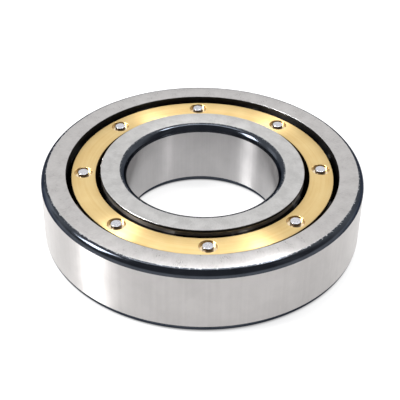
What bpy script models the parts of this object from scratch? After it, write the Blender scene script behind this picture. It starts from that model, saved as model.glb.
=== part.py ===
"""Open deep groove ball bearing with a riveted, two-piece machined brass cage.

The bearing lies flat, its axis along +Z and its origin at its centre. An outer ring and an
inner ring hold eight balls between their raceways. The cage that spaces the balls is two brass
halves, clamped together by a rivet between each pair of balls. The inner ring and the cage turn
about +Z, and each ball turns about its own centre.

The sizes stack up outwards from the bore, and outwards from the rivets, so that a change to one
of them moves whatever fits around it.
"""

import math

import bmesh
import bpy

MM = 0.001

# Across the bearing, from the shaft to the housing.
BORE_DIAMETER = 90 * MM
INNER_RING_WALL = 8.231 * MM
OUTER_RING_WALL = 7.831 * MM
BALL_DIAMETER = 33.338 * MM
RACE_CLEARANCE = 0.3 * MM
GROOVE_CONFORMITY = 0.525

# Along the bearing, from the middle of a ball to a side face.
BALL_COUNT = 8
POCKET_CLEARANCE = 0.35 * MM
POCKET_WALL = 1.781 * MM
CAGE_RECESS = 2.7 * MM

# Ring corners: the large rounded ones towards the housing and the shaft, which meet the ground
# faces at a slight angle, and the small broken edges beside the cage.
OUTER_CORNER_RADIAL = 3.4 * MM
OUTER_CORNER_AXIAL = 4.6 * MM
INNER_CORNER_RADIAL = 3.9 * MM
INNER_CORNER_AXIAL = 4.6 * MM
CORNER_BREAK = math.radians(12)
SHOULDER_EDGE = 0.3 * MM

# Rivets, the counterbores that their heads sit in, and the cage rim around those.
RIVET_SHANK_DIAMETER = 5 * MM
RIVET_HOLE_CLEARANCE = 0.3 * MM
RIVET_HEAD_OVERHANG = 0.6 * MM
RIVET_HEAD_BEVEL = 0.4 * MM
RIVET_HEAD_PROUD = 0.6 * MM
COUNTERBORE_CLEARANCE = 2.2 * MM
COUNTERBORE_DEPTH = 1.8 * MM
CAGE_RIM_WALL = 1.1 * MM
CAGE_EDGE = 0.6 * MM
CAGE_TO_RING_CLEARANCE = 3.25 * MM
SEAT_GAP = 0.3 * MM

# How far round the cage stands from +X at rest.
CAGE_REST_ANGLE = math.radians(3)

# Facets.
RING_SEGMENTS = 64
CORNER_STEPS = 3
GROOVE_STEPS = 8
BALL_SEGMENTS = 16
BALL_RINGS = 10
RIVET_SEGMENTS = 12
CUTTER_OVERRUN = 2 * MM
SMOOTH_LIMIT = math.radians(35)

# Sizes that follow from the ones above.
BALL_RADIUS = BALL_DIAMETER / 2
INNER_GROOVE_BOTTOM = BORE_DIAMETER / 2 + INNER_RING_WALL
PITCH_RADIUS = INNER_GROOVE_BOTTOM + RACE_CLEARANCE + BALL_RADIUS
OUTER_GROOVE_BOTTOM = PITCH_RADIUS + BALL_RADIUS + RACE_CLEARANCE
OUTSIDE_DIAMETER = 2 * (OUTER_GROOVE_BOTTOM + OUTER_RING_WALL)
GROOVE_RADIUS = GROOVE_CONFORMITY * BALL_DIAMETER

POCKET_RADIUS = BALL_RADIUS + POCKET_CLEARANCE
CAGE_HALF_WIDTH = POCKET_RADIUS + POCKET_WALL
WIDTH = 2 * (CAGE_HALF_WIDTH + CAGE_RECESS)

RIVET_SHANK_RADIUS = RIVET_SHANK_DIAMETER / 2
RIVET_HEAD_RADIUS = RIVET_SHANK_RADIUS + RIVET_HEAD_OVERHANG
COUNTERBORE_RADIUS = RIVET_HEAD_RADIUS + COUNTERBORE_CLEARANCE
COUNTERBORE_FLOOR = CAGE_HALF_WIDTH - COUNTERBORE_DEPTH
CAGE_HALF_THICKNESS = COUNTERBORE_RADIUS + CAGE_RIM_WALL + CAGE_EDGE
INNER_SHOULDER_RADIUS = PITCH_RADIUS - CAGE_HALF_THICKNESS - CAGE_TO_RING_CLEARANCE
OUTER_SHOULDER_RADIUS = PITCH_RADIUS + CAGE_HALF_THICKNESS + CAGE_TO_RING_CLEARANCE

STATION_ANGLE = 2 * math.pi / BALL_COUNT


def clear_scene():
    for obj in list(bpy.data.objects):
        bpy.data.objects.remove(obj, do_unlink=True)


def metal(name, colour, roughness):
    """A bare metal with the given colour and roughness."""
    material = bpy.data.materials.new(name)
    material.use_nodes = True
    shader = material.node_tree.nodes["Principled BSDF"]
    shader.inputs["Base Color"].default_value = (*colour, 1)
    shader.inputs["Metallic"].default_value = 1
    shader.inputs["Roughness"].default_value = roughness
    return material


def add_pivot(name):
    """An empty for pieces to turn about."""
    pivot = bpy.data.objects.new(name, None)
    bpy.context.scene.collection.objects.link(pivot)
    return pivot


def add_object(name, bm, material=None, parent=None):
    """Makes a finished bmesh into an object, shaded smooth but for its sharp edges."""
    bmesh.ops.recalc_face_normals(bm, faces=bm.faces)
    mesh = bpy.data.meshes.new(name)
    bm.to_mesh(mesh)
    bm.free()
    mesh.shade_smooth()
    mesh.set_sharp_from_angle(angle=SMOOTH_LIMIT)
    if material:
        mesh.materials.append(material)
    obj = bpy.data.objects.new(name, mesh)
    bpy.context.scene.collection.objects.link(obj)
    obj.parent = parent
    return obj


def add_cutter(name, bm, parent):
    cutter = add_object(name, bm, parent=parent)
    cutter.display_type = "WIRE"
    cutter.hide_render = True
    return cutter


def turn(bm, profile, segments, centre=(0, 0)):
    """Turns (radius, height) points about the upright axis at centre.

    A profile that starts away from the axis is a closed outline, and makes a ring. One that
    starts on the axis also ends on it, and makes a solid piece.
    """
    x, y = centre
    points = [bm.verts.new((x + radius, y, height)) for radius, height in profile]
    edges = [bm.edges.new(pair) for pair in zip(points, points[1:])]
    if profile[0][0] > 0:
        edges.append(bm.edges.new((points[-1], points[0])))
    bmesh.ops.spin(
        bm,
        geom=points + edges,
        cent=(x, y, 0),
        axis=(0, 0, 1),
        angle=2 * math.pi,
        steps=segments,
        use_merge=True,
    )
    bmesh.ops.remove_doubles(bm, verts=bm.verts, dist=MM / 1000)


def add_sphere(bm, radius, centre=(0, 0)):
    sphere = bmesh.ops.create_uvsphere(
        bm, u_segments=BALL_SEGMENTS, v_segments=BALL_RINGS, radius=radius
    )
    bmesh.ops.translate(bm, verts=sphere["verts"], vec=(*centre, 0))


def mirrored(upper):
    """The points that match upper below the middle plane, in the order that goes on from it."""
    return [(radius, -height) for radius, height in reversed(upper)]


def rounded_corner(start, end):
    """Points from start, on an upright wall, to end, on a level face.

    They follow the middle part of a quarter of an ellipse, so that the corner meets the wall
    and the face at the break angle.
    """
    last = math.pi / 2 - CORNER_BREAK
    reach = math.cos(CORNER_BREAK) - math.cos(last)
    points = []
    for i in range(CORNER_STEPS + 1):
        angle = CORNER_BREAK + (last - CORNER_BREAK) * i / CORNER_STEPS
        across = (math.cos(CORNER_BREAK) - math.cos(angle)) / reach
        along = (math.sin(angle) - math.sin(CORNER_BREAK)) / reach
        radius = start[0] + (end[0] - start[0]) * across
        height = start[1] + (end[1] - start[1]) * along
        points.append((radius, height))
    return points


def raceway(bottom, shoulder, outwards):
    """The raceway's arc from its upper shoulder to its lower one.

    outwards is 1 where it is sunk away from the bearing's axis, and -1 where towards it.
    """
    centre = bottom - outwards * GROOVE_RADIUS
    half_angle = math.acos(outwards * (shoulder - centre) / GROOVE_RADIUS)
    points = []
    for i in range(GROOVE_STEPS + 1):
        angle = half_angle * (1 - 2 * i / GROOVE_STEPS)
        radius = centre + outwards * GROOVE_RADIUS * math.cos(angle)
        points.append((radius, GROOVE_RADIUS * math.sin(angle)))
    return points


def make_ring(name, material, seat, corner, shoulder, bottom, outwards):
    """A bearing ring, from the radii of its seat, its shoulders and the bottom of its raceway.

    The seat is the plain cylinder that fits the housing or the shaft.
    """
    corner_radial, corner_axial = corner
    face = WIDTH / 2
    wall_end = (seat, face - corner_axial)
    face_end = (seat - outwards * corner_radial, face)
    upper = rounded_corner(wall_end, face_end)
    upper.append((shoulder + outwards * SHOULDER_EDGE, face))
    upper.append((shoulder, face - SHOULDER_EDGE))
    bm = bmesh.new()
    turn(bm, upper + raceway(bottom, shoulder, outwards) + mirrored(upper), RING_SEGMENTS)
    return add_object(name, bm, material)


def on_pitch_circle(steps):
    """The point that many ball spacings round the cage. Whole numbers are rivets, halves balls."""
    angle = steps * STATION_ANGLE
    return PITCH_RADIUS * math.cos(angle), PITCH_RADIUS * math.sin(angle)


def make_ball(name, material, steps, parent):
    bm = bmesh.new()
    add_sphere(bm, BALL_RADIUS)
    ball = add_object(name, bm, material, parent)
    ball.location = (*on_pitch_circle(steps), 0)


def make_rivet(name, material, steps, parent):
    """A rivet. Each head stands clear of its counterbore's floor, and a little proud of the cage."""
    top = CAGE_HALF_WIDTH + RIVET_HEAD_PROUD
    under = COUNTERBORE_FLOOR + SEAT_GAP
    upper = [
        (0, top),
        (RIVET_HEAD_RADIUS - RIVET_HEAD_BEVEL, top),
        (RIVET_HEAD_RADIUS, top - RIVET_HEAD_BEVEL),
        (RIVET_HEAD_RADIUS, under),
        (RIVET_SHANK_RADIUS, under),
    ]
    bm = bmesh.new()
    turn(bm, upper + mirrored(upper), RIVET_SEGMENTS)
    rivet = add_object(name, bm, material, parent)
    rivet.location = (*on_pitch_circle(steps), 0)


def make_pocket_cutter(parent):
    """A sphere for each ball's pocket."""
    bm = bmesh.new()
    for i in range(BALL_COUNT):
        add_sphere(bm, POCKET_RADIUS, on_pitch_circle(i + 0.5))
    return add_cutter("pocket_cutter", bm, parent)


def make_rivet_hole_cutter(parent):
    """A through hole with a counterbore at both ends, for each rivet."""
    hole_radius = RIVET_SHANK_RADIUS + RIVET_HOLE_CLEARANCE
    beyond = CAGE_HALF_WIDTH + CUTTER_OVERRUN
    upper = [
        (0, beyond),
        (COUNTERBORE_RADIUS, beyond),
        (COUNTERBORE_RADIUS, COUNTERBORE_FLOOR),
        (hole_radius, COUNTERBORE_FLOOR),
    ]
    bm = bmesh.new()
    for i in range(BALL_COUNT):
        turn(bm, upper + mirrored(upper), RIVET_SEGMENTS, on_pitch_circle(i))
    return add_cutter("rivet_hole_cutter", bm, parent)


def make_cage_half(name, material, cutters, parent):
    """The cage half above the middle plane. The other half is the same piece turned over."""
    inner = PITCH_RADIUS - CAGE_HALF_THICKNESS
    outer = PITCH_RADIUS + CAGE_HALF_THICKNESS
    profile = [
        (outer, SEAT_GAP / 2),
        (outer, CAGE_HALF_WIDTH - CAGE_EDGE),
        (outer - CAGE_EDGE, CAGE_HALF_WIDTH),
        (inner + CAGE_EDGE, CAGE_HALF_WIDTH),
        (inner, CAGE_HALF_WIDTH - CAGE_EDGE),
        (inner, SEAT_GAP / 2),
    ]
    bm = bmesh.new()
    turn(bm, profile, RING_SEGMENTS)
    half = add_object(name, bm, material, parent)
    for cutter in cutters:
        cut = half.modifiers.new(cutter.name, "BOOLEAN")
        cut.operation = "DIFFERENCE"
        cut.solver = "EXACT"
        cut.object = cutter
    return half


def make_rings():
    ring_steel = metal("ground_steel", (0.56, 0.55, 0.54), 0.32)
    make_ring(
        "outer_ring",
        ring_steel,
        seat=OUTSIDE_DIAMETER / 2,
        corner=(OUTER_CORNER_RADIAL, OUTER_CORNER_AXIAL),
        shoulder=OUTER_SHOULDER_RADIUS,
        bottom=OUTER_GROOVE_BOTTOM,
        outwards=1,
    )
    make_ring(
        "inner_ring",
        ring_steel,
        seat=BORE_DIAMETER / 2,
        corner=(INNER_CORNER_RADIAL, INNER_CORNER_AXIAL),
        shoulder=INNER_SHOULDER_RADIUS,
        bottom=INNER_GROOVE_BOTTOM,
        outwards=-1,
    )


def make_cage_and_balls():
    brass = metal("machined_brass", (0.83, 0.62, 0.28), 0.28)
    ball_steel = metal("polished_steel", (0.66, 0.66, 0.67), 0.06)
    rivet_steel = metal("rivet_steel", (0.6, 0.61, 0.64), 0.3)

    cage_axis = add_pivot("cage_axis")
    cage_axis.rotation_euler.z = CAGE_REST_ANGLE
    cutters = [make_pocket_cutter(cage_axis), make_rivet_hole_cutter(cage_axis)]
    make_cage_half("cage_upper_half", brass, cutters, cage_axis)
    lower_half = make_cage_half("cage_lower_half", brass, cutters, cage_axis)
    lower_half.rotation_euler.x = math.pi

    for i in range(BALL_COUNT):
        make_rivet(f"rivet_{i + 1}", rivet_steel, i, cage_axis)
        make_ball(f"ball_{i + 1}", ball_steel, i + 0.5, cage_axis)


clear_scene()
make_rings()
make_cage_and_balls()
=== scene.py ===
"""The looks of an open deep groove ball bearing with a riveted brass cage.

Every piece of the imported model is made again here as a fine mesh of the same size, in the same
place and on the same body, with its own procedural metal. The ring faces, the outside cylinder
and the bore are ground steel, the corners and shoulders black oxide, and the cage turned brass.
"""

import math

import bmesh
import bpy
from mathutils import Matrix, Vector, noise


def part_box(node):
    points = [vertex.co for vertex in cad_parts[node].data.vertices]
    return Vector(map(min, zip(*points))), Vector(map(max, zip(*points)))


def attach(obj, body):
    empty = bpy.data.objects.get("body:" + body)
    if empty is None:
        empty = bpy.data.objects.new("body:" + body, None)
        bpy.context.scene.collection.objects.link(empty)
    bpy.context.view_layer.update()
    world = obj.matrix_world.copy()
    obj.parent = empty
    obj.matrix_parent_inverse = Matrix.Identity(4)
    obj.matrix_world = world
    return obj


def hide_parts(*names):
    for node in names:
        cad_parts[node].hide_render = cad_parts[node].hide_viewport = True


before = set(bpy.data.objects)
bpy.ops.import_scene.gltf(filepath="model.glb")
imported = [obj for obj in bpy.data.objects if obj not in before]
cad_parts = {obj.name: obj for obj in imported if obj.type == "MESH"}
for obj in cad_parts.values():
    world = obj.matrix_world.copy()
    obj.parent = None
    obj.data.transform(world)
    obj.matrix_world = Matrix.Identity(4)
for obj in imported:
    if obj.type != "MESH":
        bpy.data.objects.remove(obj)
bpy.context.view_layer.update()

MM = 0.001

# The rings' corners, each as its radial and its axial size, and the worn edges of their faces.
# A corner leaves its seat and meets its face at the angle of the break.
OUTER_CORNER = (3.4 * MM, 4.6 * MM)
INNER_CORNER = (3.9 * MM, 4.6 * MM)
CORNER_BREAK = math.radians(5)
CORNER_STEPS = 14
WORN_EDGE = 0.11 * MM

# Raceways, pockets and the seats between the cage's pieces.
RACE_CLEARANCE = 0.3 * MM
GROOVE_CONFORMITY = 0.525
GROOVE_STEPS = 40
POCKET_CLEARANCE = 0.35 * MM
SEAT_GAP = 0.06 * MM
CAGE_BEVEL = 0.45 * MM
CAGE_BEVEL_ROUNDING = 0.3

# Rivets and their counterbores.
RIVET_HEAD_BEVEL = 0.45 * MM
RIVET_HEAD_OVERHANG = 0.6 * MM
RIVET_HOLE_CLEARANCE = 0.08 * MM
COUNTERBORE_CLEARANCE = 2.2 * MM
COUNTERBORE_DEPTH = 1.8 * MM
COUNTERBORE_BEVEL = 0.15 * MM
HAMMER_DEPTH = 0.05 * MM
HAMMER_SCALE = 1.1 * MM

# The studio: a room that fades from dark to pale between two values of the direction's Y,
# and a glowing floor with a painted contact shadow beside the bearing's feet.
DARK_SIDE = (0.28, 0.28, 0.3)
PALE_SIDE = (1.0, 1.0, 1.0)
ROOM_FADE = (-0.2, 0.35)
FLOOR_HALF = 4
FLOOR_COLOUR = (0.35, 0.35, 0.35)
FLOOR_GLOW = 0.8
# Width of the painted contact shadow, over which the floor's glow fades in beside the feet.
PAINTED_CONTACT_SHADOW = 2.6 * MM

# The lights: name, azimuth and elevation in degrees, distance, width, height, and radiance.
LIGHTS = (
    ("overhead", 95, 83, 1.22, 1.0, 0.18, 7.4),
    ("key", 28, 68, 1.2, 0.13, 0.13, 38.0),
    ("left_panel", 193, 36, 1.2, 0.36, 0.5, 28.0),
    ("left_fill", 152, 15, 1.2, 0.4, 0.6, 1.0),
    ("right_fill", 328, 30, 1.2, 0.25, 1.0, 0.15),
)

# The camera.
CAMERA_ELEVATION = math.radians(36.55)
CAMERA_DISTANCE = 618 * MM
CAMERA_ROLL = math.radians(1.04)
CAMERA_LENS = 92.3
CAMERA_SHIFT = (-0.0053, -0.0088)

# Facets.
RING_SEGMENTS = 256
CAGE_SEGMENTS = 192
POCKET_SEGMENTS = 48
POCKET_RINGS = 32
HOLE_SEGMENTS = 40
RIVET_SEGMENTS = 48
RIVET_TOP_RINGS = 9
RIVET_BEVEL_STEPS = 4
BALL_SEGMENTS = 64
BALL_RINGS = 40
SHARP_ANGLE = math.radians(32)


# ---------------------------------------------------------------- sizes read from the frame


def vertex_radii(node):
    """The least and the greatest distance of a node's vertices from the bearing's axis."""
    radii = [v.co.xy.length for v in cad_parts[node].data.vertices]
    return min(radii), max(radii)


def middle(node):
    low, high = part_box(node)
    return (low + high) / 2


def half_height(node):
    low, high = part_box(node)
    return (high.z - low.z) / 2


BALLS = sorted(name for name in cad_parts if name.startswith("ball_"))
RIVETS = sorted(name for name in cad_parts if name.startswith("rivet_"))

FACE = half_height("outer_ring")
SHOULDER_OUT, SEAT_OUT = vertex_radii("outer_ring")
BORE, SHOULDER_IN = vertex_radii("inner_ring")
BALL_RADIUS = half_height(BALLS[0])
PITCH = middle(BALLS[0]).xy.length
GROOVE_RADIUS = GROOVE_CONFORMITY * 2 * BALL_RADIUS
CAGE_IN, CAGE_OUT = vertex_radii("cage_upper_half")
CAGE_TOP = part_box("cage_upper_half")[1].z
RIVET_TOP = half_height(RIVETS[0])
RIVET_LOW, RIVET_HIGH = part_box(RIVETS[0])
RIVET_HEAD = (RIVET_HIGH.x - RIVET_LOW.x) / 2
RIVET_SHANK = RIVET_HEAD - RIVET_HEAD_OVERHANG
COUNTERBORE = RIVET_HEAD + COUNTERBORE_CLEARANCE
COUNTERBORE_FLOOR = CAGE_TOP - COUNTERBORE_DEPTH


# ---------------------------------------------------------------- materials

# The part of a noise pattern that a tint or a roughness runs over. A narrow part gives crisp patches.
CRISP = (0.41, 0.59)
CLEAR = (0.4, 0.6)
SOFT = (0.35, 0.65)
FAINT = (0.3, 0.7)

# Colours of the metals, at their darker and at their lighter spots.
OUTER_FACE = (0.475, 0.46, 0.454), (0.56, 0.543, 0.536)
INNER_FACE = (0.48, 0.473, 0.467), (0.6, 0.592, 0.585)
OUTSIDE = (0.492, 0.474, 0.464)
# Painted shade: the bore's steel is darker than the outside's, as shade inside the bore.
SHADED_BORE = (0.43, 0.42, 0.42)
CYLINDER_SMEAR = 1.12
OUTER_SHOULDER = (0.03, 0.028, 0.026), (0.045, 0.042, 0.04)
INNER_SHOULDER = (0.3, 0.275, 0.255), (0.38, 0.355, 0.33)
# Black oxide on the shoulders near the faces, and the same colour as painted shade deep in the gaps.
SHOULDER_OXIDE_AND_SHADE = (0.03, 0.031, 0.034)
BLACK_OXIDE = (0.042, 0.048, 0.058), (0.06, 0.067, 0.08)
OXIDE_SHEEN = (0.36, 0.36, 0.38)
CHIPPED_STEEL = (0.6, 0.6, 0.61)
WORN_STEEL = (0.42, 0.42, 0.43), (0.6, 0.6, 0.61)
HONED_STEEL = (0.55, 0.55, 0.56), (0.62, 0.62, 0.63)
# Painted shade: the balls' steel, darker than lapped steel is, to stand for the shade in the gaps.
BALL_STEEL_PAINTED_DARK = (0.34, 0.34, 0.35), (0.4, 0.4, 0.41)
RIVET_STEEL = (0.52, 0.52, 0.56), (0.68, 0.68, 0.72)
# Painted shade: the rivets' sides, much darker than their tops, as if in shade.
RIVET_SIDE_SHADE_STEEL = (0.14, 0.13, 0.13), (0.3, 0.28, 0.28)
TURNED_BRASS = (0.84, 0.595, 0.255), (0.92, 0.70, 0.34)
# Painted shade: the walls of the rivet holes and counterbores, darker brass as if in shade.
HOLE_WALL_SHADE_BRASS = (0.4, 0.28, 0.13), (0.6, 0.45, 0.25)
# Painted highlight: the counterbores' floors, paler brass as if lit by the lamp above.
FLOOR_HIGHLIGHT_BRASS = (0.86, 0.66, 0.4), (0.95, 0.8, 0.58)
# Painted shade: the cage's inner and outer sides, dark brass as if in shade in the gaps.
SIDE_SHADE_BRASS = (0.13, 0.08, 0.035), (0.22, 0.14, 0.06)


class Shading:
    """A material whose nodes are added one at a time, from left to right."""

    def __init__(self, name):
        self.material = bpy.data.materials.new(name)
        self.material.use_nodes = True
        self.tree = self.material.node_tree
        self.shader = self.tree.nodes["Principled BSDF"]

    def node(self, kind, settings=None, **inputs):
        """Adds a node. Inputs are numbers, colours, or another node's outputs.

        An input is given by its name, with _ for each space, or as _ and its number.
        """
        made = self.tree.nodes.new("ShaderNode" + kind)
        for key, value in (settings or {}).items():
            setattr(made, key, value)
        for key, value in inputs.items():
            which = int(key[1:]) if key[0] == "_" else key.replace("_", " ")
            self.feed(made.inputs[which], value)
        return made

    def feed(self, socket, value):
        if isinstance(value, bpy.types.NodeSocket):
            self.tree.links.new(value, socket)
        else:
            socket.default_value = value

    def math(self, operation, a, b=0.0):
        return self.node("Math", {"operation": operation}, _0=a, _1=b).outputs[0]

    def spread(self, value, low, high, to_low, to_high):
        """Maps low..high to to_low..to_high, held at the ends."""
        made = self.node("MapRange", None, _0=value, _1=low, _2=high, _3=to_low, _4=to_high)
        return made.outputs[0]

    def mix(self, factor, a, b):
        """Mixes two colours. Each is three numbers or another node's output."""
        colours = [c if isinstance(c, bpy.types.NodeSocket) else (*c, 1) for c in (a, b)]
        made = self.node("Mix", {"data_type": "RGBA"}, _0=factor, _6=colours[0], _7=colours[1])
        return made.outputs[2]

    def tint(self, pattern, part, dark, light):
        """Goes from the dark colour to the light one over a part of the pattern."""
        return self.mix(self.spread(pattern, *part, 0, 1), dark, light)

    def blend(self, a, share_a, b, share_b):
        """Adds two patterns, each with its share."""
        return self.math("ADD", self.math("MULTIPLY", a, share_a), self.math("MULTIPLY", b, share_b))

    def noise(self, vector, scale, detail=2.0, roughness=0.5):
        made = self.node(
            "TexNoise",
            None,
            Vector=vector,
            Scale=scale,
            Detail=detail,
            Roughness=roughness,
        )
        return made.outputs["Fac"]

    def place(self):
        """The point in the piece's own space."""
        return self.node("TexCoord").outputs["Object"]

    def axes(self):
        """The point's x, y and z in the piece's own space."""
        return self.node("SeparateXYZ", None, _0=self.place()).outputs

    def radius(self, axes):
        """The point's distance from the bearing's axis."""
        squares = [self.math("POWER", axes[i], 2) for i in (0, 1)]
        return self.math("SQRT", self.math("ADD", *squares))

    def off_middle(self):
        """The point's height above or below the bearing's middle plane."""
        return self.math("ABSOLUTE", self.axes()[2])

    def around(self, turns, across):
        """A space in which a pattern runs in long streaks round the bearing's axis.

        A pattern of size 1 there is 1/turns of a radian long, and 1/across metres wide both
        along the radius and along the axis.
        """
        axes = self.axes()
        radius = self.radius(axes)
        east = self.math("MULTIPLY", self.math("DIVIDE", axes[0], radius), turns)
        north = self.math("MULTIPLY", self.math("DIVIDE", axes[1], radius), turns)
        width = self.math("MULTIPLY", self.math("ADD", radius, axes[2]), across)
        return self.node("CombineXYZ", None, _0=east, _1=north, _2=width).outputs[0]

    def bump(self, height, distance):
        made = self.node("Bump", None, Strength=1.0, Distance=distance, Height=height)
        return made.outputs["Normal"]

    def set(self, **inputs):
        for key, value in inputs.items():
            self.feed(self.shader.inputs[key.replace("_", " ")], value)

    def metal(self, colour, roughness, **others):
        self.set(Base_Color=colour, Metallic=1.0, Roughness=roughness, **others)

    def brushed_round(self, amount):
        """Spreads the gloss across lines that run round the bearing's axis."""
        tangent = self.node("Tangent", {"direction_type": "RADIAL", "axis": "Z"}).outputs[0]
        self.set(Anisotropic=amount, Anisotropic_Rotation=0.25, Tangent=tangent)


def ground_face(name, colours, roughness, lay):
    """A ring's side face: bright ground steel, with fine lines round it and short crossing ones."""
    s = Shading(name)
    fine = s.noise(s.around(5, 9000), 1, detail=3)
    crossing = s.noise(s.around(150, 600), 1, detail=3, roughness=0.65)
    patches = s.noise(s.place(), 140, detail=3)
    tone = s.blend(crossing, 0.5, patches, 0.5)
    s.metal(
        s.tint(tone, CRISP, *colours),
        s.spread(tone, *FAINT, roughness - 0.03, roughness + 0.03),
        Normal=s.bump(fine, 0.002 * MM),
    )
    s.brushed_round(lay)
    return s.material


def ground_cylinder(name, colour, roughness):
    """The outside cylinder or the bore: ground steel that mirrors in upright bands."""
    s = Shading(name)
    fine = s.noise(s.around(4, 7000), 1, detail=3)
    upright = s.noise(s.around(45, 12), 1, detail=3)
    smears = s.noise(s.place(), 60, detail=4, roughness=0.6)
    tone = s.blend(upright, 0.3, smears, 0.7)
    s.metal(
        s.tint(tone, CLEAR, colour, [c * CYLINDER_SMEAR for c in colour]),
        s.spread(tone, *FAINT, roughness - 0.01, roughness + 0.02),
        Normal=s.bump(fine, 0.0005 * MM),
    )
    s.brushed_round(0.99)
    return s.material


def black_oxide():
    """The corners, left blue-black by the heat treatment, glossy, and chipped along the faces."""
    s = Shading("black_oxide_steel")
    mottle = s.noise(s.place(), 120, detail=4, roughness=0.55)
    near_face = s.spread(s.off_middle(), FACE - 0.5 * MM, FACE - 0.1 * MM, 0, 0.17)
    chips = s.noise(s.around(70, 1400), 1, detail=4, roughness=0.7)
    bare = s.spread(s.math("ADD", chips, near_face), 0.72, 0.76, 0, 1)
    s.metal(
        s.mix(bare, s.tint(mottle, FAINT, *BLACK_OXIDE), CHIPPED_STEEL),
        s.spread(bare, 0, 1, s.spread(mottle, *FAINT, 0.11, 0.17), 0.35),
        Specular_Tint=(*OXIDE_SHEEN, 1),
    )
    return s.material


def turned_shoulder(name, colours, roughness):
    """The shoulders beside the cage: a turned band, with black oxide above it and painted shade, in
    the oxide's colour, below it deep in the gap.
    """
    s = Shading(name)
    tool = s.noise(s.around(1.5, 3000), 1, detail=3)
    mottle = s.noise(s.place(), 300, detail=3)
    height = s.off_middle()
    above = s.spread(height, FACE - 1.9 * MM, FACE - 1.4 * MM, 0, 1)
    # Painted shade: the shoulder deep in the gap goes dark as if in shade.
    below = s.spread(height, FACE - 4.4 * MM, FACE - 3.9 * MM, 1, 0)
    oxide = s.math("MAXIMUM", above, below)
    s.metal(
        s.mix(oxide, s.tint(mottle, FAINT, *colours), SHOULDER_OXIDE_AND_SHADE),
        s.spread(tool, *FAINT, roughness - 0.03, roughness + 0.03),
        Normal=s.bump(tool, 0.001 * MM),
    )
    s.brushed_round(0.9)
    return s.material


def worn_edge():
    """The bright line where a ground face breaks into its corner."""
    s = Shading("worn_edge_steel")
    nicks = s.noise(s.around(30, 600), 1, detail=3)
    s.metal(s.tint(nicks, CLEAR, *WORN_STEEL), s.spread(nicks, *FAINT, 0.2, 0.4))
    return s.material


def raceway_steel():
    s = Shading("raceway_steel")
    honed = s.noise(s.around(3, 5000), 1, detail=2)
    s.metal(
        s.mix(honed, *HONED_STEEL),
        s.spread(honed, *FAINT, 0.08, 0.16),
        Normal=s.bump(honed, 0.001 * MM),
    )
    return s.material


def turned_brass():
    """The cage: bright brass with the fine circular marks of the lathe."""
    s = Shading("turned_brass")
    tool = s.noise(s.around(1.2, 3500), 1, detail=3)
    bands = s.noise(s.around(1.6, 700), 1, detail=2)
    patches = s.noise(s.place(), 90, detail=3)
    tone = s.blend(bands, 0.5, patches, 0.5)
    s.metal(
        s.tint(tone, SOFT, *TURNED_BRASS),
        s.spread(tone, *FAINT, 0.36, 0.4),
        Normal=s.bump(tool, 0.001 * MM),
    )
    s.brushed_round(0.98)
    return s.material


def speckled_metal(name, colours, speckles, smooth, rough):
    """A metal with an even speckle in its colour and, from smooth to rough, its roughness."""
    s = Shading(name)
    speckle = s.noise(s.place(), speckles, detail=3)
    s.metal(s.tint(speckle, SOFT, *colours), s.spread(speckle, *FAINT, smooth, rough))
    return s.material


def hammered_rivet():
    """Bright steel with the fine speckle of a hammered head."""
    s = Shading("rivet_steel")
    speckle = s.noise(s.place(), 1600, detail=3)
    s.metal(
        s.tint(speckle, SOFT, *RIVET_STEEL),
        s.spread(speckle, *FAINT, 0.22, 0.36),
        Normal=s.bump(speckle, 0.03 * MM),
    )
    return s.material


def ball_steel():
    s = Shading("lapped_ball_steel_painted_dark")
    # The balls are painted dark, as shade deep in the gaps.
    haze = s.noise(s.place(), 150, detail=4)
    s.metal(s.mix(haze, *BALL_STEEL_PAINTED_DARK), s.spread(haze, *FAINT, 0.03, 0.07))
    return s.material


# ---------------------------------------------------------------- meshes


def add_piece(name, bm, materials):
    """Makes a finished bmesh into an object in the scene."""
    mesh = bpy.data.meshes.new(name)
    bm.to_mesh(mesh)
    bm.free()
    for material in materials:
        mesh.materials.append(material)
    mesh.shade_smooth()
    mesh.set_sharp_from_angle(angle=SHARP_ANGLE)
    piece = bpy.data.objects.new(name, mesh)
    bpy.context.scene.collection.objects.link(piece)
    return piece


def turn(bm, outline, segments, closed=True, centre=(0, 0)):
    """Turns an outline of (radius, height, slot) points about an upright axis at centre.

    slot is the material slot of the strip that starts at the point. An outline that isn't
    closed starts and ends on the axis.
    """
    rings = []
    for radius, height, _ in outline:
        if radius == 0:
            rings.append([bm.verts.new((*centre, height))] * segments)
            continue
        ring = []
        for i in range(segments):
            angle = 2 * math.pi * i / segments
            x = centre[0] + radius * math.cos(angle)
            y = centre[1] + radius * math.sin(angle)
            ring.append(bm.verts.new((x, y, height)))
        rings.append(ring)
    count = len(rings) if closed else len(rings) - 1
    for j in range(count):
        low, high = rings[j], rings[(j + 1) % len(rings)]
        for i in range(segments):
            k = (i + 1) % segments
            corners = []
            for vert in (low[i], low[k], high[k], high[i]):
                if vert not in corners:
                    corners.append(vert)
            bm.faces.new(corners).material_index = outline[j][2]
    bmesh.ops.recalc_face_normals(bm, faces=bm.faces)


def mirrored(upper):
    """The outline below the middle plane that goes on from upper. Its strips keep their slots."""
    slots = [slot for _, _, slot in upper]
    lower = [(radius, -height) for radius, height, _ in reversed(upper)]
    next_slots = list(reversed(slots[:-1])) + [slots[-1]]
    return [(r, h, s) for (r, h), s in zip(lower, next_slots)]


# A ring's finishes.
GROUND_FACE, GROUND_SEAT, OXIDE, TURNED, WORN, RACE = range(6)


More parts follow.
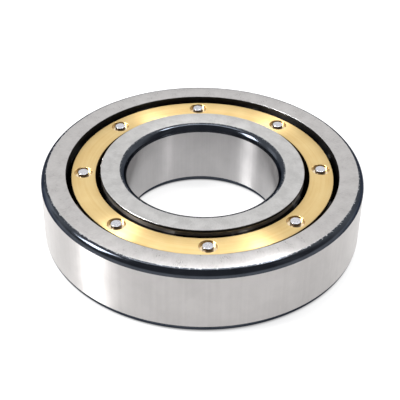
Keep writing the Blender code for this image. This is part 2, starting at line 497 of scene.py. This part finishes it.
def rounded_corner(start, end):
    """Points along the rounded corner from start, on the seat, to end, on the face."""
    last = math.pi / 2 - CORNER_BREAK
    reach = math.cos(CORNER_BREAK) - math.cos(last)
    points = []
    for i in range(CORNER_STEPS + 1):
        angle = CORNER_BREAK + (last - CORNER_BREAK) * i / CORNER_STEPS
        across = (math.cos(CORNER_BREAK) - math.cos(angle)) / reach
        along = (math.sin(angle) - math.sin(CORNER_BREAK)) / reach
        radius = start[0] + (end[0] - start[0]) * across
        height = start[1] + (end[1] - start[1]) * along
        points.append((radius, height, OXIDE))
    return points


def raceway(bottom, shoulder, outwards):
    """Points down a ring's groove, from its upper shoulder to its lower one."""
    centre = bottom - outwards * GROOVE_RADIUS
    half_angle = math.acos(outwards * (shoulder - centre) / GROOVE_RADIUS)
    points = []
    for i in range(GROOVE_STEPS + 1):
        angle = half_angle * (1 - 2 * i / GROOVE_STEPS)
        radius = centre + outwards * GROOVE_RADIUS * math.cos(angle)
        points.append((radius, GROOVE_RADIUS * math.sin(angle), RACE))
    return points


def make_ring(name, seat, corner, shoulder, bottom, outwards, materials):
    """A bearing ring, from its seat up over the face and down the raceway.

    outwards is 1 for the outer ring, whose seat is its outside cylinder, and -1 for the inner
    ring, whose seat is its bore. bottom is the radius of the raceway's deepest line.
    """
    corner_radial, corner_axial = corner
    rim = seat - outwards * corner_radial
    edge = FACE - WORN_EDGE / 2
    upper = rounded_corner((seat, FACE - corner_axial), (rim, edge))
    upper[-1] = (rim, edge, WORN)
    upper.append((rim - outwards * WORN_EDGE, FACE, GROUND_FACE))
    upper.append((shoulder + outwards * WORN_EDGE, FACE, WORN))
    upper.append((shoulder, FACE - WORN_EDGE, TURNED))
    groove = raceway(bottom, shoulder, outwards)
    lower = mirrored(upper)
    lower[-1] = (*lower[-1][:2], GROUND_SEAT)
    groove[-1] = (*groove[-1][:2], TURNED)
    bm = bmesh.new()
    turn(bm, upper + groove + lower, RING_SEGMENTS)
    return add_piece(name, bm, materials)


def sphere(bm, radius, segments, rings, centre=(0, 0, 0)):
    made = bmesh.ops.create_uvsphere(bm, u_segments=segments, v_segments=rings, radius=radius)
    bmesh.ops.translate(bm, verts=made["verts"], vec=centre)


# The cage's finishes: its turned faces, the walls of its holes, darker with painted shade,
# the floors of its counterbores, paler with a painted highlight, and its sides, painted dark as
# shade.
BRASS, HOLE_WALL_SHADE, FLOOR_HIGHLIGHT, SIDE_SHADE = range(4)


def hole_outline():
    """Half of a rivet hole, from above the cage to its middle plane, with a counterbore."""
    beyond = CAGE_TOP + MM
    hole = RIVET_SHANK + RIVET_HOLE_CLEARANCE
    return [
        (0, beyond, BRASS),
        (COUNTERBORE + COUNTERBORE_BEVEL + MM, beyond, BRASS),
        (COUNTERBORE, CAGE_TOP - COUNTERBORE_BEVEL, HOLE_WALL_SHADE),
        (COUNTERBORE, COUNTERBORE_FLOOR, FLOOR_HIGHLIGHT),
        (hole, COUNTERBORE_FLOOR, HOLE_WALL_SHADE),
        (hole, -MM, BRASS),
        (0, -MM, BRASS),
    ]


def cut(piece, cutter):
    """Cuts the cutter's volume out of the piece for good, and removes the cutter."""
    made = piece.modifiers.new("cut", "BOOLEAN")
    made.operation = "DIFFERENCE"
    made.solver = "EXACT"
    made.object = cutter
    with bpy.context.temp_override(object=piece, active_object=piece):
        bpy.ops.object.modifier_apply(modifier=made.name)
    bpy.data.objects.remove(cutter, do_unlink=True)


def make_cage_half(name, side, materials):
    """One half of the cage. side is 1 for the upper one and -1 for the lower one."""
    bevel = CAGE_BEVEL
    inset = bevel * CAGE_BEVEL_ROUNDING
    upper = [
        (CAGE_OUT, SEAT_GAP / 2, SIDE_SHADE),
        (CAGE_OUT, CAGE_TOP - bevel, BRASS),
        (CAGE_OUT - inset, CAGE_TOP - inset, BRASS),
        (CAGE_OUT - bevel, CAGE_TOP, BRASS),
        (CAGE_IN + bevel, CAGE_TOP, BRASS),
        (CAGE_IN + inset, CAGE_TOP - inset, BRASS),
        (CAGE_IN, CAGE_TOP - bevel, SIDE_SHADE),
        (CAGE_IN, SEAT_GAP / 2, BRASS),
    ]
    bm = bmesh.new()
    turn(bm, upper, CAGE_SEGMENTS)
    half = add_piece(name, bm, materials)
    pockets = bmesh.new()
    for ball in BALLS:
        sphere(pockets, BALL_RADIUS + POCKET_CLEARANCE, POCKET_SEGMENTS, POCKET_RINGS, middle(ball))
    cut(half, add_piece("pockets", pockets, []))
    holes = bmesh.new()
    for rivet in RIVETS:
        turn(holes, hole_outline(), HOLE_SEGMENTS, closed=False, centre=middle(rivet).xy)
    cut(half, add_piece("holes", holes, materials))
    if side < 0:
        half.data.transform(Matrix.Diagonal((1, 1, -1, 1)))
        half.data.flip_normals()
    half.data.shade_smooth()
    half.data.set_sharp_from_angle(angle=SHARP_ANGLE)
    return half


# A rivet's finishes: its hammered tops, and its speckled sides, painted dark as shade.
HAMMERED, SIDE = range(2)


def make_rivet(name, place, materials):
    """A rivet with two flat heads, each with a softened rim and slightly hammered top."""
    rings = RIVET_TOP_RINGS
    top_radius = RIVET_HEAD - RIVET_HEAD_BEVEL
    upper = [(top_radius * i / rings, RIVET_TOP, HAMMERED) for i in range(rings)]
    for i in range(RIVET_BEVEL_STEPS + 1):
        angle = math.pi / 2 * i / RIVET_BEVEL_STEPS
        radius = top_radius + RIVET_HEAD_BEVEL * math.sin(angle)
        height = RIVET_TOP - RIVET_HEAD_BEVEL * (1 - math.cos(angle))
        upper.append((radius, height, SIDE if i > RIVET_BEVEL_STEPS / 2 else HAMMERED))
    upper.append((RIVET_HEAD, COUNTERBORE_FLOOR, SIDE))
    upper.append((RIVET_SHANK, COUNTERBORE_FLOOR, SIDE))
    bm = bmesh.new()
    turn(bm, upper + mirrored(upper), RIVET_SEGMENTS, closed=False)
    for vert in bm.verts:
        if abs(vert.co.z) > COUNTERBORE_FLOOR + MM:
            where = (vert.co + place) / HAMMER_SCALE
            vert.co.z -= math.copysign(HAMMER_DEPTH * (0.5 + 0.5 * noise.noise(where)), vert.co.z)
    rivet = add_piece(name, bm, materials)
    rivet.location = place
    return rivet


def make_ball(name, place, steel):
    bm = bmesh.new()
    sphere(bm, BALL_RADIUS, BALL_SEGMENTS, BALL_RINGS)
    ball = add_piece(name, bm, [steel])
    ball.location = place
    return ball


def settle(piece, body, node):
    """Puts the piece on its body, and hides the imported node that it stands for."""
    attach(piece, body)
    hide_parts(node)


# ---------------------------------------------------------------- the bearing


def build_bearing():
    outer_face = ground_face("outer_face_steel", OUTER_FACE, roughness=0.29, lay=0.72)
    inner_face = ground_face("inner_face_steel", INNER_FACE, roughness=0.34, lay=0.5)
    oxide = black_oxide()
    dark_shoulder = turned_shoulder("outer_shoulder_steel", OUTER_SHOULDER, roughness=0.35)
    bright_shoulder = turned_shoulder("inner_shoulder_steel", INNER_SHOULDER, roughness=0.34)
    worn = worn_edge()
    race = raceway_steel()
    outside = ground_cylinder("ground_outside_steel", OUTSIDE, roughness=0.32)
    bore = ground_cylinder("ground_bore_steel", SHADED_BORE, roughness=0.3)
    outer = make_ring(
        "outer_ring_steel",
        SEAT_OUT,
        OUTER_CORNER,
        SHOULDER_OUT,
        PITCH + BALL_RADIUS + RACE_CLEARANCE,
        1,
        [outer_face, outside, oxide, dark_shoulder, worn, race],
    )
    settle(outer, "outer_ring", "outer_ring")
    inner = make_ring(
        "inner_ring_steel",
        BORE,
        INNER_CORNER,
        SHOULDER_IN,
        PITCH - BALL_RADIUS - RACE_CLEARANCE,
        -1,
        [inner_face, bore, oxide, bright_shoulder, worn, race],
    )
    settle(inner, "inner_ring", "inner_ring")

    brass = [
        turned_brass(),
        # Painted shade on the walls of the holes.
        speckled_metal("hole_wall_shade_brass", HOLE_WALL_SHADE_BRASS, speckles=700, smooth=0.12, rough=0.22),
        # Painted highlight on the counterbores' floors.
        speckled_metal("floor_highlight_brass", FLOOR_HIGHLIGHT_BRASS, speckles=500, smooth=0.2, rough=0.28),
        # Painted shade on the cage's sides.
        speckled_metal("side_shade_brass", SIDE_SHADE_BRASS, speckles=200, smooth=0.3, rough=0.42),
    ]
    for node, side in (("cage_upper_half", 1), ("cage_lower_half", -1)):
        settle(make_cage_half(node + "_brass", side, brass), "cage", node)

    # Painted shade on the rivets' sides.
    shaded_rivet_side = speckled_metal(
        "rivet_side_shade_steel",
        RIVET_SIDE_SHADE_STEEL,
        speckles=900,
        smooth=0.25,
        rough=0.4,
    )
    rivet_metal = [hammered_rivet(), shaded_rivet_side]
    for node in RIVETS:
        settle(make_rivet(node + "_steel", middle(node), rivet_metal), "cage", node)

    ball_metal = ball_steel()
    for node in BALLS:
        settle(make_ball(node + "_steel", middle(node), ball_metal), node, node)


# ---------------------------------------------------------------- the studio


def light_table():
    """Glossy white acrylic, lit from below, with a painted contact shadow where the bearing stands on
    it.
    """
    s = Shading("light_table")
    radius = s.radius(s.axes())
    outer_foot = SEAT_OUT - OUTER_CORNER[0]
    inner_foot = BORE + INNER_CORNER[0]
    # Painted contact shadow: the glow is off under the bearing and fades in beside its feet.
    outside = s.spread(radius, outer_foot, outer_foot + PAINTED_CONTACT_SHADOW, 0, 1)
    inside = s.spread(radius, inner_foot - PAINTED_CONTACT_SHADOW, inner_foot, 1, 0)
    glow = s.math("MULTIPLY", s.math("MAXIMUM", outside, inside), FLOOR_GLOW)
    s.set(Base_Color=(*FLOOR_COLOUR, 1), Roughness=0.12, IOR=1.5)
    s.set(Emission_Color=(1, 1, 1, 1), Emission_Strength=glow)
    return s.material


def build_floor():
    bm = bmesh.new()
    bmesh.ops.create_grid(bm, x_segments=1, y_segments=1, size=FLOOR_HALF)
    bmesh.ops.translate(bm, verts=bm.verts, vec=(0, 0, -FACE))
    floor = add_piece("floor", bm, [light_table()])


def add_softbox(name, azimuth, elevation, distance, width, height, radiance):
    """A rectangular light that faces the bearing. Azimuth is measured from +X towards +Y."""
    a, e = math.radians(azimuth), math.radians(elevation)
    towards = Vector((math.cos(a) * math.cos(e), math.sin(a) * math.cos(e), math.sin(e)))
    data = bpy.data.lights.new(name, "AREA")
    data.shape = "RECTANGLE"
    data.size, data.size_y = width, height
    data.energy = radiance * math.pi * width * height
    light = bpy.data.objects.new(name, data)
    light.location = towards * distance
    light.rotation_mode = "QUATERNION"
    light.rotation_quaternion = towards.to_track_quat("Z", "Y")
    bpy.context.scene.collection.objects.link(light)


def build_room():
    """A studio with pale walls, dark on the side where the photographer stands."""
    world = bpy.data.worlds.new("studio")
    world.use_nodes = True
    nodes, links = world.node_tree.nodes, world.node_tree.links
    direction = nodes.new("ShaderNodeTexCoord").outputs["Generated"]
    axes = nodes.new("ShaderNodeSeparateXYZ")
    links.new(direction, axes.inputs[0])
    fade = nodes.new("ShaderNodeMapRange")
    fade.interpolation_type = "SMOOTHSTEP"
    fade.inputs["From Min"].default_value, fade.inputs["From Max"].default_value = ROOM_FADE
    links.new(axes.outputs["Y"], fade.inputs["Value"])
    room = nodes.new("ShaderNodeMix")
    room.data_type = "RGBA"
    room.inputs[6].default_value = (*DARK_SIDE, 1)
    room.inputs[7].default_value = (*PALE_SIDE, 1)
    links.new(fade.outputs["Result"], room.inputs["Factor"])
    links.new(room.outputs[2], nodes["Background"].inputs["Color"])
    bpy.context.scene.world = world


def build_lights():
    build_room()
    for light in LIGHTS:
        add_softbox(*light)


def build_camera():
    """A long lens from in front and above, which looks at the middle of the bearing."""
    data = bpy.data.cameras.new("camera")
    data.sensor_width = 36
    data.lens = CAMERA_LENS
    data.shift_x, data.shift_y = CAMERA_SHIFT
    data.clip_start = 0.01
    camera = bpy.data.objects.new("camera", data)
    back = CAMERA_DISTANCE * math.cos(CAMERA_ELEVATION)
    up = CAMERA_DISTANCE * math.sin(CAMERA_ELEVATION)
    camera.location = (0, -back, up)
    camera.rotation_euler = (math.pi / 2 - CAMERA_ELEVATION, 0, 0)
    camera.rotation_euler.rotate_axis("Z", CAMERA_ROLL)
    bpy.context.scene.collection.objects.link(camera)
    bpy.context.scene.camera = camera
    bpy.context.scene.view_settings.view_transform = "Standard"


build_camera()
build_bearing()
build_floor()
build_lights()
